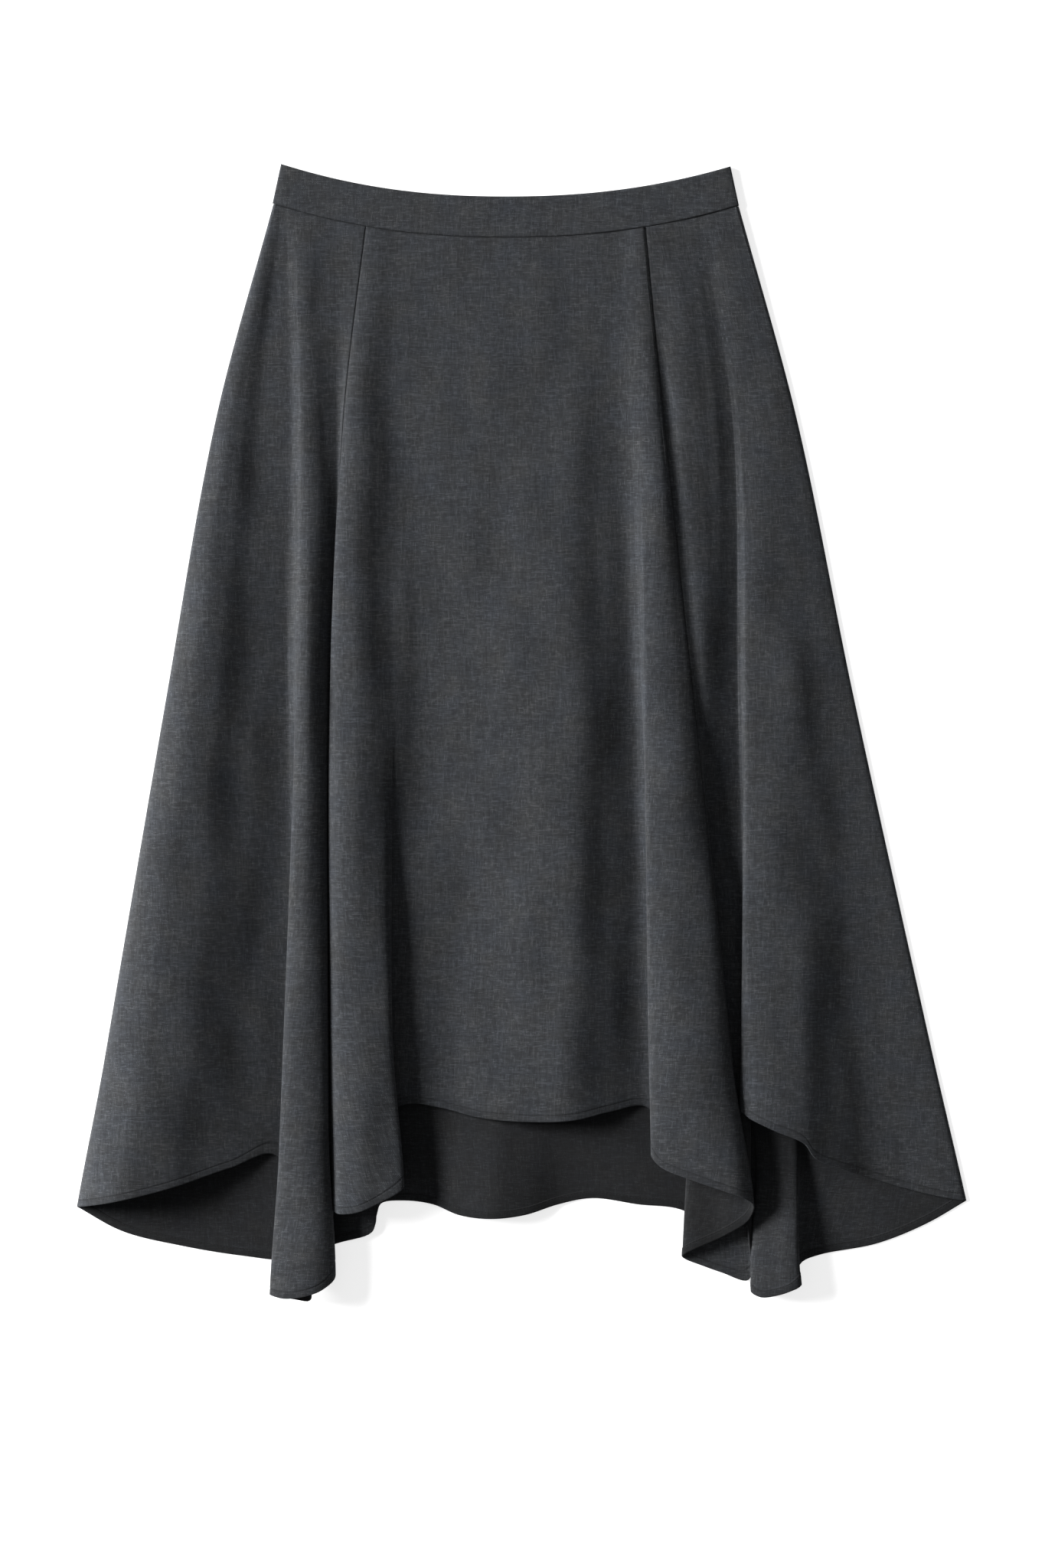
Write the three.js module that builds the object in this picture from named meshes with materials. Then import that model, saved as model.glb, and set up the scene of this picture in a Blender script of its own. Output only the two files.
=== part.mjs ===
// Asymmetric midi skirt, laid flat on its back. Millimetres, Z up from the surface that it lies on.
// X runs across the skirt to the viewer's right and Y up towards the waist.
// A drop is a length down the skirt, counted from the waist seam at the centre front.
import * as THREE from "three";

// Cloth and seams
const clothThickness = 1.2;
const seamGap = 0.3;
const halfCloth = clothThickness / 2;

// Contoured waistband: its middle, half widths, height, how far its ends rise above its middle, and
// how much further the left end rises
const band = {
  centre: -13,
  halfTop: 183.4,
  halfSeam: 190.3,
  height: 33.5,
  topRise: 24.6,
  seamRise: 26,
  leftLift: 1.9,
  curvePower: 2.2,
  thickness: 2.4,
  softEdge: 0.4,
  segments: 28,
};

// Heights of the middle of the cloth where the panels lie flat
const backRest = halfCloth;
const frontSide = backRest + clothThickness + seamGap;
const frontWaist = band.thickness + seamGap + band.thickness / 2;

// Drops of the levels at which every line's place is given, and how a line turns to its hem point
const levelDrops = [-26, 150, 375, 750];
const hemReach = 120;
const backFoldStart = 640;

// Steps from the waist seam to the hem, closer towards the hem, and steps from one line to the next:
// one for each turn of this many degrees, where the cloth turns most
const stepsDown = 14;
const crowdingAtHem = 1.35;
const turnPerStep = 32;
const mostSteps = 4;
const turnShares = [0.35, 0.65, 0.9, 1];

// Short steps down and across the cloth that give the direction straight out of it
const shareStep = 0.004;
const lineStep = 0.04;

// Each row below is one line down the skirt. Its columns are the place across at the waist, hip, middle
// and low levels, the hem point's place across and drop, and the height of the cloth's middle at the
// hip, middle and low levels.
const frontColumns = [
  "waist", "hip", "middle", "low", "hemAcross", "hemDrop", "hipHeight", "middleHeight", "lowHeight",
];

// Left side front, from the side seam to the last line before the left princess seam
const leftLines = [
  [-203, -250, -290, -354, -363, 791, 2.1, 2.1, 2.1], // side seam
  [-201.5, -248, -286, -347, -355, 790, 4.8, 8.8, 13], // side roll, outer edge
  [-199.5, -240, -271, -322, -331, 786, 8.2, 15.6, 22.6], // side roll, crest
  [-197.5, -229, -250, -278, -286, 775, 7.2, 13.6, 18.8], // side roll, upper slope
  [-195.6, -215, -226, -234, -238, 759, 4, 8.4, 8.8], // side roll, lower slope
  [-194.2, -196, -198, -200, -200, 749, 3.2, 3.5, 3.2], // foot of the first fold
  [-192.4, -187.4, -188, -177, -176, 852, 3.5, 3.9, 4.4], // hidden turn, lower side
  [-190.6, -185, -185, -174, -172.5, 867, 4.6, 6.6, 7.6], // hidden turn, upper side, hem's point
  [-189, -183.2, -184.2, -184, -185, 866, 5.7, 9.2, 10.6], // layer turned back under the first fold
  [-187.4, -181.6, -183.8, -197.5, -205, 862, 6.8, 11.8, 13.8], // first fold, left edge
  [-185.2, -179.8, -181, -191.8, -194, 865, 8.3, 14.8, 18], // first fold, left shoulder
  [-181.4, -174.4, -174.4, -177.5, -174, 862.5, 9.3, 16.4, 20.3], // first fold, crest
  [-175.5, -167, -166, -163, -161, 857, 8.6, 13.6, 18.4], // first fold, right slope
  [-169, -160, -159.8, -157.6, -151.8, 847, 6.6, 9, 12.8], // first fold, right edge
  [-161, -154.5, -157.6, -163, -163.5, 831, 5, 5.8, 7.6], // tuck under the right edge
  [-150, -150, -151.6, -159.5, -160, 812, 4.2, 4, 4], // bottom of the deep valley
  [-138, -147.5, -150, -152.4, -154.6, 800, 5, 6, 5.4], // rise to the princess seam
];

const leftSeam = [-125, -145.5, -156.4, -155.4, -153.6, 794, 7, 9.6, 10.8];

// Centre front, between the princess seams
const centreLines = [
  [-121, -141, -150.6, -149.4, -149.2, 796, 9.3, 14.6, 17.6], // second fold, left shoulder
  [-116, -133, -137, -134, -135, 795, 10.3, 16.8, 21.8], // second fold, crest
  [-111, -125, -126, -116, -118, 788, 9.2, 15.3, 21.4], // second fold, right shoulder
  [-106, -117, -115, -102.5, -96, 774, 7, 12.2, 18.4], // second fold, right edge
  [-102, -110, -107, -106.5, -104, 764, 5.4, 9.8, 12.6], // layer turned back under it
  [-98, -104, -101, -122.5, -121, 737, 4.7, 8.4, 9], // hidden turn
  [-94, -98, -95, -115, -114, 717.5, 4.5, 7.2, 5.6], // return to the centre
  [-88, -89, -85, -94, -94, 707, 4.6, 6.2, 8.4], // left valley of the centre
  [-66, -66, -64, -64, -66, 710, 5.2, 5.3, 6.6], // centre, left slope
  [-28, -29, -26, -32, -32, 718.5, 5.8, 7.8, 7.4], // centre, left of the crest
  [20, 20, 20, 12, 12, 721.5, 6.8, 12, 12.4], // centre, crest
  [48, 44, 46, 43, 43, 720, 6.4, 12.2, 13], // centre, right slope
  [66, 64, 68, 72, 73, 713, 5, 7.8, 8.2], // right valley of the centre
  [74, 79, 91, 99.5, 101, 709, 4.4, 3, 2.5], // foot of the third fold
  [80, 87, 97, 115, 115, 725, 5.4, 5.4, 5.4], // hidden turn
  [84, 91, 98.8, 111, 111, 741, 6.6, 8.4, 10.2], // layer turned back under the third fold
  [87, 94.6, 99.6, 105, 105.5, 748, 7.8, 11.6, 14.6], // third fold, left edge
  [90, 98.5, 102.2, 108.8, 113.4, 758, 9, 14.8, 19.6], // third fold, left shoulder
  [94, 105, 114.5, 126, 136.5, 767.5, 10.2, 17.2, 24.2], // third fold, crest
  [96.5, 110.5, 127, 153, 164, 777, 10, 16.8, 25], // third fold, right slope
  [98.3, 113.7, 135.6, 171.5, 180.5, 783, 9.3, 14.6, 22.6], // third fold, right shoulder
];

const rightSeam = [99.5, 116, 139.8, 179, 189, 789.5, 8.4, 13.1, 18];

// Right side front, from the right princess seam to the side seam
const rightLines = [
  [103, 121, 142.6, 172, 185, 801.5, 7.7, 12, 13], // layer turned back under the third fold
  [110, 134, 146.2, 153, 166, 814, 8.3, 10.7, 10.6], // small ridge at the hip, inner layer at the hem
  [120, 145, 150.2, 135.8, 131.4, 830.5, 7.8, 9.3, 8.4], // turn of the inner layer, upper side
  [128, 152, 154.6, 136.8, 132.6, 833, 6.6, 7.8, 5.8], // turn of the inner layer, lower side
  [134, 158.5, 160, 146, 147.5, 839, 5.1, 6, 4.2], // start of the outer layer below it
  [139, 165, 167, 160, 163, 844.5, 3.5, 3.9, 3.6], // floor of the right valley
  [143.5, 171, 174.6, 180, 183.4, 850, 2.4, 2.3, 3.2], // right valley, hem's point
  [146, 173.4, 178, 188, 184.8, 812.5, 2.9, 3.5, 6.8], // hidden turn
  [148, 174.9, 179.8, 184.5, 184, 762.5, 3.5, 5, 10.2], // layer turned back under the right fold
  [149.6, 176.2, 181.2, 178.5, 178.5, 714, 4.2, 7, 13.8], // right fold, left edge
  [151.5, 178.4, 184.4, 184.8, 186.4, 719, 4.9, 9, 18.2], // right fold, left shoulder
  [156, 189, 200, 206, 206, 728.5, 5.2, 10, 20.4], // right fold, crest
  [160.5, 202, 217, 229.5, 230, 739, 4.5, 9.1, 19.8], // right fold, right slope
  [164, 209, 229, 237.5, 239, 751, 4, 7.4, 18.2], // right fold, right edge
  [167, 214, 239, 257, 260, 759.5, 3.6, 5.7, 11.8], // side slope
  [170, 218.5, 249, 279, 283, 766.5, 3.2, 4.4, 4.8], // foot of the side slope
  [172.8, 221.5, 258.5, 306, 312, 775.5, 2.8, 3.4, 2.8], // flat side
  [175.2, 223.8, 266.5, 340, 348, 784, 2.4, 2.6, 2.6], // flat side, outer edge
  [177, 225, 271, 354, 363, 786, 2.1, 2.1, 2.1], // side seam
];

// The back's columns are the same, but for one height: how far the cloth rises by the hem
const backColumns = ["waist", "hip", "middle", "low", "hemAcross", "hemDrop", "hemRise"];

const backLines = [
  [-203, -250, -290, -354, -363, 791, 0], // left side seam
  [-186, -226, -259, -314, -326, 811, 0],
  [-165, -196, -222, -265, -277, 823, 0],
  [-143, -166, -184, -218, -228, 831, 0],
  [-122, -138, -151, -179, -188, 834, 0],
  [-103, -113, -122, -146, -151, 821, 0.8],
  [-90, -98, -106, -124, -122, 811.5, 3], // small ridge where the hem steps up
  [-84, -91, -98, -117, -118.8, 799, 2.6],
  [-78, -84, -90, -110, -115, 788.5, 0.8],
  [-58, -62, -66, -84, -96, 786, 0],
  [-42, -45, -49, -62, -72.5, 789, 1.5],
  [-28, -30, -32, -42, -51, 797.5, 7.5], // low fold, left slope
  [-13, -14, -15, -22, -26, 800.5, 11.5], // low fold, crest
  [2, 2, 2, 0, 2.5, 797.5, 7.5], // low fold, right slope
  [20, 20, 22, 26, 30, 789, 1.5],
  [38, 40, 44, 53, 57.5, 784, 0],
  [58, 64, 72, 86, 94, 789, 0],
  [76, 88, 102, 124, 134, 795, 0],
  [94, 112, 132, 156, 168, 826, 0],
  [106, 128, 152, 190, 191.5, 856, 0], // hem fold, left foot
  [110, 133, 158, 193, 188.4, 860.5, 6], // hem fold, left edge
  [114, 138, 165, 198, 195, 864.5, 9.5], // hem fold, left shoulder
  [118, 143, 171, 206, 205.5, 863.5, 12], // hem fold, crest
  [122, 148, 177, 216, 218.5, 859.5, 15], // hem fold, right shoulder
  [127, 154, 184, 224, 227.5, 854.5, 14], // hem fold, right edge
  [132, 160, 191, 229, 223.5, 846, 6.5], // hem fold, layer turned back
  [137, 166, 198, 236, 229, 836, 0], // hem fold, lower turn
  [143, 174, 208, 248, 244, 830, 0],
  [154, 190, 229, 284, 290, 821, 0],
  [166, 208, 250, 320, 330, 805, 0],
  [177, 225, 271, 354, 363, 786, 0], // right side seam
];

const asNamedRows = (columns) => (row) => Object.fromEntries(columns.map((name, i) => [name, row[i]]));

// Drop of the waist seam and of the band's top edge at a place across the skirt
function edgeDrop(across, half, rise, drop) {
  const share = Math.min(Math.abs(across - band.centre) / half, 1);
  const endRise = across < band.centre ? rise + band.leftLift : rise;
  return drop - endRise * share ** band.curvePower;
}
const seamDrop = (across) => edgeDrop(across, band.halfSeam, band.seamRise, 0);
const topDrop = (across) => edgeDrop(across, band.halfTop, band.topRise, -band.height);

// Smooth curve through values given at the levels, going straight on past its ends
function followLevels(values, drop) {
  const last = levelDrops.length - 1;
  const slope = (a, b) => (values[b] - values[a]) / (levelDrops[b] - levelDrops[a]);
  const slopeAt = (k) => slope(Math.max(k - 1, 0), Math.min(k + 1, last));
  if (drop >= levelDrops[last]) return values[last] + slopeAt(last) * (drop - levelDrops[last]);
  if (drop <= levelDrops[0]) return values[0] + slopeAt(0) * (drop - levelDrops[0]);
  const k = levelDrops.findIndex((level) => level > drop) - 1;
  const span = levelDrops[k + 1] - levelDrops[k];
  const t = (drop - levelDrops[k]) / span;
  const easeIn = t * t * (3 - 2 * t);
  const startPull = t * (1 - t) * (1 - t) * span * slopeAt(k);
  const endPull = t * t * (1 - t) * span * slopeAt(k + 1);
  return values[k] + (values[k + 1] - values[k]) * easeIn + startPull - endPull;
}

// Place across of a line at a drop: its levels, then a soft turn to its hem point
function lineAcross(line, drop) {
  const levels = [line.waist, line.hip, line.middle, line.low];
  const turn = THREE.MathUtils.smoothstep(drop, line.hemDrop - hemReach, line.hemDrop);
  const missing = line.hemAcross - followLevels(levels, line.hemDrop);
  return followLevels(levels, drop) + missing * turn;
}

// Height of the middle of the cloth on a line
function frontHeight(line, drop) {
  const start = line.hipHeight > frontSide ? frontWaist : frontSide;
  const levels = [start, line.hipHeight, line.middleHeight, line.lowHeight];
  return Math.max(followLevels(levels, drop), frontSide);
}
function backHeight(line, drop) {
  return backRest + line.hemRise * THREE.MathUtils.smoothstep(drop, backFoldStart, line.hemDrop);
}

// Curve across one side of the skirt through all its lines, at a share of the way down to the hem
function curveAcross(side, share) {
  const points = side.lines.map((line) => {
    const top = seamDrop(line.waist) + seamGap;
    const drop = THREE.MathUtils.lerp(top, line.hemDrop, share);
    return new THREE.Vector3(lineAcross(line, drop), -drop, side.height(line, drop));
  });
  return new THREE.CatmullRomCurve3(points, false, "centripetal");
}

// Places along the lines, from one line to another, where a panel has its columns of points:
// the more the cloth turns between two lines, the more columns stand there
function columnPlaces(side, from, to) {
  const lastLine = side.lines.length - 1;
  const curves = turnShares.map((share) => curveAcross(side, share));
  const places = [];
  for (let line = from; line < to; line += 1) {
    const turns = curves.map((curve) => {
      const probes = [0, 0.5, 1].map((part) => curve.getTangent((line + part) / lastLine));
      return probes[0].angleTo(probes[1]) + probes[1].angleTo(probes[2]);
    });
    const turn = THREE.MathUtils.radToDeg(Math.max(...turns));
    const steps = THREE.MathUtils.clamp(Math.ceil(turn / turnPerStep), 1, mostSteps);
    for (let step = 0; step < steps; step += 1) places.push(line + step / steps);
  }
  return [...places, to];
}

// Grid of points in the middle of a panel's cloth, each with the direction straight out of the cloth.
// The panel runs from one line to another and stops half a seam gap short of a line that is a seam.
function panelGrid(side, from, to) {
  const lastLine = side.lines.length - 1;
  const places = columnPlaces(side, from, to);
  const rows = [];
  for (let down = 0; down <= stepsDown; down += 1) {
    const share = 1 - (1 - down / stepsDown) ** crowdingAtHem;
    const here = curveAcross(side, share);
    const above = curveAcross(side, Math.max(share - shareStep, 0));
    const below = curveAcross(side, Math.min(share + shareStep, 1));
    rows.push(places.map((place) => {
      const t = place / lastLine;
      const near = Math.max(t - lineStep / lastLine, 0);
      const far = Math.min(t + lineStep / lastLine, 1);
      const point = here.getPoint(t);
      const along = here.getPoint(far).sub(here.getPoint(near)).normalize();
      const downwards = below.getPoint(t).sub(above.getPoint(t));
      const out = downwards.cross(along).normalize();
      if (place === from && from > 0) point.addScaledVector(along, seamGap / 2);
      if (place === to && to < lastLine) point.addScaledVector(along, -seamGap / 2);
      if (down === 0) point.y = -seamDrop(point.x) - seamGap;
      point.z = Math.max(point.z, side.lowest);
      return { point, out };
    }));
  }
  return rows;
}

// Closed wall of cloth round a grid: an upper skin, a lower skin and a rim
function clothWall(rows) {
  const across = rows[0].length;
  const down = rows.length;
  const skin = (side) => rows.flat().map(({ point, out }) => point.clone().addScaledVector(out, side));
  const points = [...skin(halfCloth), ...skin(-halfCloth)];
  const upper = (r, c) => r * across + c;
  const lower = (r, c) => (down + r) * across + c;
  const triangles = [];
  const face = (a, b, c, d) => {
    const short = points[a].distanceTo(points[c]) <= points[b].distanceTo(points[d]);
    triangles.push(...(short ? [a, b, c, a, c, d] : [a, b, d, b, c, d]));
  };
  for (let r = 0; r < down - 1; r += 1) {
    for (let c = 0; c < across - 1; c += 1) {
      face(upper(r, c), upper(r + 1, c), upper(r + 1, c + 1), upper(r, c + 1));
      face(lower(r, c), lower(r, c + 1), lower(r + 1, c + 1), lower(r + 1, c));
    }
    face(upper(r, 0), lower(r, 0), lower(r + 1, 0), upper(r + 1, 0));
    const end = across - 1;
    face(upper(r, end), upper(r + 1, end), lower(r + 1, end), lower(r, end));
  }
  for (let c = 0; c < across - 1; c += 1) {
    const end = down - 1;
    face(upper(0, c), upper(0, c + 1), lower(0, c + 1), lower(0, c));
    face(upper(end, c), lower(end, c), lower(end, c + 1), upper(end, c + 1));
  }
  const geometry = new THREE.BufferGeometry().setFromPoints(points);
  geometry.setIndex(triangles);
  geometry.computeVertexNormals();
  return geometry;
}

// Half of the waistband: a curved strip with softened edges, lying flat from a height upwards
function bandGeometry(bottom) {
  const outline = [];
  for (let i = 0; i <= band.segments; i += 1) {
    const share = (2 * i) / band.segments - 1;
    const across = band.centre + share * band.halfSeam;
    outline.push(new THREE.Vector2(across, -seamDrop(across)));
  }
  for (let i = band.segments; i >= 0; i -= 1) {
    const share = (2 * i) / band.segments - 1;
    const across = band.centre + share * band.halfTop;
    outline.push(new THREE.Vector2(across, -topDrop(across)));
  }
  const geometry = new THREE.ExtrudeGeometry(new THREE.Shape(outline), {
    depth: band.thickness - 2 * band.softEdge,
    bevelEnabled: true,
    bevelThickness: band.softEdge,
    bevelSize: band.softEdge,
    bevelOffset: -band.softEdge,
    bevelSegments: 1,
  });
  geometry.translate(0, 0, bottom + band.softEdge);
  return geometry;
}

function clothMaterial(colour) {
  return new THREE.MeshStandardMaterial({ color: colour, roughness: 0.9, metalness: 0 });
}

function named(name, geometry, colour) {
  const mesh = new THREE.Mesh(geometry, clothMaterial(colour));
  mesh.name = name;
  return mesh;
}

const outerGrey = 0x3f4145;
const innerGrey = 0x37393c;

const frontLines = [...leftLines, leftSeam, ...centreLines, rightSeam, ...rightLines];
const front = { lines: frontLines.map(asNamedRows(frontColumns)), height: frontHeight, lowest: frontSide };
const back = { lines: backLines.map(asNamedRows(backColumns)), height: backHeight, lowest: backRest };
const leftSeamLine = leftLines.length;
const rightSeamLine = leftSeamLine + centreLines.length + 1;

const skirt = new THREE.Group();
skirt.add(
  named("waistband_front", bandGeometry(band.thickness + seamGap), outerGrey),
  named("waistband_back", bandGeometry(0), innerGrey),
  named("front_side_left", clothWall(panelGrid(front, 0, leftSeamLine)), outerGrey),
  named("front_centre", clothWall(panelGrid(front, leftSeamLine, rightSeamLine)), outerGrey),
  named("front_side_right", clothWall(panelGrid(front, rightSeamLine, frontLines.length - 1)), outerGrey),
  named("back_panel", clothWall(panelGrid(back, 0, backLines.length - 1)), innerGrey),
);

// The origin is the middle of the skirt's box, on the surface that it lies on
const middle = new THREE.Box3().setFromObject(skirt).getCenter(new THREE.Vector3());
skirt.position.set(-middle.x, -middle.y, 0);
skirt.updateMatrixWorld(true);

export default skirt;
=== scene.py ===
# Looks of an asymmetric midi skirt laid flat on its back: cloth, waistband, hems, stitching and studio.
# X runs across the skirt to the viewer's right, Y up to the waist and Z towards the viewer, in metres.
# The cut's tables are in millimetres. A drop is a length down the skirt from its waist seam's middle.
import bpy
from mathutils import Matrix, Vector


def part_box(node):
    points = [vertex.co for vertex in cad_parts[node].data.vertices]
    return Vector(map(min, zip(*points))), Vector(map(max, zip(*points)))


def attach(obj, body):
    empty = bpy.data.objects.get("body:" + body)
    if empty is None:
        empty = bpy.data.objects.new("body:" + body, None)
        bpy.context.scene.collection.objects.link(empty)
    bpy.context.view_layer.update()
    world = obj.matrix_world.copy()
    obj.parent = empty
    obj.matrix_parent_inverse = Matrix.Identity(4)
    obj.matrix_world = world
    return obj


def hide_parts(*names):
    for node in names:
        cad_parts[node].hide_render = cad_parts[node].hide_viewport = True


bl_info = {
    "name": "Asymmetric midi skirt",
    "version": (1, 0, 0),
    "blender": (4, 5, 0),
    "location": "3D View > Sidebar > Skirt",
    "description": "A flared charcoal skirt laid flat, with princess seams and an uneven pointed hem",
    "category": "Add Mesh",
}

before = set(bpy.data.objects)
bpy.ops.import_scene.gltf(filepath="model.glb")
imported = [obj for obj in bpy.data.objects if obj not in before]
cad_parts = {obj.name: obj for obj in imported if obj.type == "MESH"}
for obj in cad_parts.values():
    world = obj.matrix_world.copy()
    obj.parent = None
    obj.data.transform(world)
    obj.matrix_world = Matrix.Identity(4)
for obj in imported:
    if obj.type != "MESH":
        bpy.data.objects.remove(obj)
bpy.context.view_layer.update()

import bpy
import numpy as np
from mathutils import Vector

# Place in the frame that the image is centred on, reach of the floor and of the camera in metres, and the
# width of the camera's sensor in mm
IMAGE_CENTRE = (0.0009, -0.0422)
FLOOR_REACH = 80.0
CAMERA_REACH = 250.0
SENSOR_WIDTH = 36.0

# Waistband: its middle, half widths, height, how far its ends rise above its middle, and how much
# further the left end rises, in mm
BAND = {
    "centre": -13.0,
    "half_top": 183.4,
    "half_seam": 190.3,
    "height": 33.5,
    "top_rise": 24.6,
    "seam_rise": 26.0,
    "left_lift": 1.9,
    "curve_power": 2.2,
}
MM = 0.001

# The band's two halves: height of the strip's middle, how far its ends lift towards the other half, and
# half its thickness, all in mm, and what it rests on
STRIPS = {
    "waistband_back": {"middle": 1.2, "end_lift": 0.35, "half": 1.12, "rests_on": []},
    "waistband_front": {"middle": 3.9, "end_lift": -0.55, "half": 1.05, "rests_on": ["waistband_back"]},
}

# Form of a strip, in mm: steps in from an edge, where its even steps start and how many there are along
# each way, how far in its ends lift, radius of its edges, and the painted shade along its seam to the skirt,
# standing in for the shade where the skirt meets it, and its reach
STRIP_STEPS = [0, 0.12, 0.45, 1.0, 1.8, 2.9]
STRIP_EVEN_START = 4.4
STRIP_ROWS = 10
STRIP_COLUMNS = 130
STRIP_END_REACH = 3.2
STRIP_EDGE_RADIUS = 1.3
STRIP_SEAM_PAINTED_SHADE = 0.45
STRIP_SEAM_REACH = 0.8

# Unevenness of a strip, in mm: height and lengths of its short waves, the angle that they start at, height
# and length of its long wave, and how far from an edge all of them have their full height
SHORT_WAVE = 0.12
SHORT_WAVE_LENGTHS = (17.0, 9.0)
SHORT_WAVE_START = 1.2
LONG_WAVE = 0.1
LONG_WAVE_LENGTH = 41.0
CALM_EDGE = 6.0

# The frame's origin, in the tables' millimetres, from the box of the waistband
BAND_LOW, BAND_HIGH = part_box("waistband_front")
ORIGIN_ACROSS = BAND["centre"] - (BAND_LOW[0] + BAND_HIGH[0]) / 2 / MM
ORIGIN_DROP = BAND_HIGH[1] / MM - BAND["height"] - BAND["top_rise"] - BAND["left_lift"]

# Heights of the middle of the cloth where the panels lie flat, how far the back's middle may sink, the
# cloth's least height above the floor, and the seam's gap, in mm
BACK_REST = 0.6
BACK_SINK = 0.15
FRONT_SIDE = 2.1
FRONT_WAIST = 3.9
FLOOR_GAP = 0.02
SEAM_GAP = 0.3

# Drops of the levels at which every line's place is given, the length over which a line turns to its hem
# point, and the drop from which the back's folds rise
LEVEL_DROPS = np.array([-26.0, 150.0, 375.0, 750.0])
HEM_REACH = 120.0
BACK_FOLD_START = 670.0

# Each row is one line down the skirt: its place across at the waist, hip, middle and low levels, its hem
# point's place across and drop, and the height of the cloth's middle at the hip, middle and low levels
FRONT_COLUMNS = [
    "waist", "hip", "middle", "low", "hem_across", "hem_drop", "hip_height", "middle_height", "low_height",
]
LEFT_LINES = [
    [-203, -250, -290, -354, -363, 791, 2.1, 2.1, 2.1],  # side seam
    [-201.5, -248, -286, -347, -355, 790, 4.8, 8.8, 13],  # side roll, outer edge
    [-199.5, -240, -271, -322, -331, 786, 8.2, 15.6, 23],  # side roll, crest
    [-197.5, -229, -250, -278, -286, 775, 7.2, 14.2, 20.6],  # side roll, upper slope
    [-195.6, -215, -226, -234, -238, 759, 4, 8.6, 10],  # side roll, lower slope
    [-194.2, -196, -198, -200, -200, 749, 3.2, 3.3, 2.7],  # foot of the first fold
    [-192.4, -187.4, -188, -177, -176, 852, 3.5, 3.9, 4.4],  # hidden turn, lower side
    [-190.6, -185, -185, -174, -172.5, 867, 4.6, 6.6, 7.6],  # hidden turn, upper side, hem's point
    [-189, -183.2, -184.2, -184, -185, 866, 5.7, 9.2, 10.6],  # layer turned back under the first fold
    [-187.4, -181.6, -183.8, -197.5, -205, 862, 6.8, 11.8, 13.8],  # first fold, left edge
    [-185.2, -179.8, -181, -191.8, -194, 865, 8.3, 14.8, 18],  # first fold, left shoulder
    [-181.4, -174.4, -174.4, -177.5, -174, 862.5, 9.3, 16.4, 20.3],  # first fold, crest
    [-175.5, -167, -166, -163, -161, 857, 8.6, 13.6, 18.4],  # first fold, right slope
    [-169, -160, -159.8, -157.6, -151.8, 847, 6.6, 9, 12.8],  # first fold, right edge
    [-161, -154.5, -157.6, -163, -163.5, 831, 5, 5.8, 7.6],  # tuck under the right edge
    [-150, -150, -151.6, -159.5, -160, 812, 4.2, 4, 4],  # bottom of the deep valley
    [-138, -147.5, -150, -152.4, -154.6, 800, 5, 6, 5.4],  # rise to the princess seam
]
LEFT_SEAM = [-125, -145.5, -156.4, -155.4, -153.6, 794, 7, 9.6, 10.8]
CENTRE_LINES = [
    [-121, -141, -150.6, -149.4, -149.2, 796, 9.3, 14.6, 17.6],  # second fold, left shoulder
    [-116, -133, -137, -134, -135, 795, 10.3, 16.8, 21.8],  # second fold, crest
    [-111, -125, -126, -116, -118, 788, 9.2, 15.3, 21.4],  # second fold, right shoulder
    [-106, -117, -115, -102.5, -96, 774, 7, 12.2, 18.4],  # second fold, right edge
    [-102, -110, -107, -106.5, -104, 764, 5.4, 9.8, 12.6],  # layer turned back under it
    [-98, -104, -101, -122.5, -121, 737, 4.7, 8.4, 9],  # hidden turn
    [-94, -98, -95, -115, -114, 717.5, 4.5, 7.2, 5.6],  # return to the centre
    [-88, -89, -85, -94, -94, 707, 4.6, 5.4, 6.2],  # left valley of the centre
    [-66, -66, -64, -64, -66, 710, 5.2, 5, 5.6],  # centre, left slope
    [-28, -29, -26, -32, -32, 718.5, 5.8, 7.7, 7.3],  # centre, left of the crest
    [20, 20, 20, 12, 12, 721.5, 6.8, 12.2, 13.9],  # centre, crest
    [48, 44, 46, 43, 43, 720, 6.4, 13.2, 14.9],  # centre, right slope
    [66, 64, 68, 72, 73, 713, 5, 8, 8.6],  # right valley of the centre
    [74, 79, 91, 99.5, 101, 709, 4.4, 3, 2.5],  # foot of the third fold
    [80, 87, 97, 115, 115, 725, 5.4, 5.4, 5.4],  # hidden turn
    [84, 91, 98.8, 111, 111, 741, 6.6, 8.4, 10.2],  # layer turned back under the third fold
    [87, 94.6, 99.6, 105, 105.5, 748, 7.8, 11.6, 14.6],  # third fold, left edge
    [90, 98.5, 102.2, 108.8, 113.4, 758, 9, 14.8, 19.6],  # third fold, left shoulder
    [94, 105, 114.5, 126, 136.5, 767.5, 10.2, 17.2, 24.2],  # third fold, crest
    [96.5, 110.5, 127, 153, 164, 777, 10, 16.8, 25],  # third fold, right slope
    [98.3, 113.7, 135.6, 171.5, 180.5, 783, 9.3, 14.6, 22.6],  # third fold, right shoulder
]
RIGHT_SEAM = [99.5, 116, 139.8, 179, 189, 789.5, 8.4, 13.1, 18]
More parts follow.
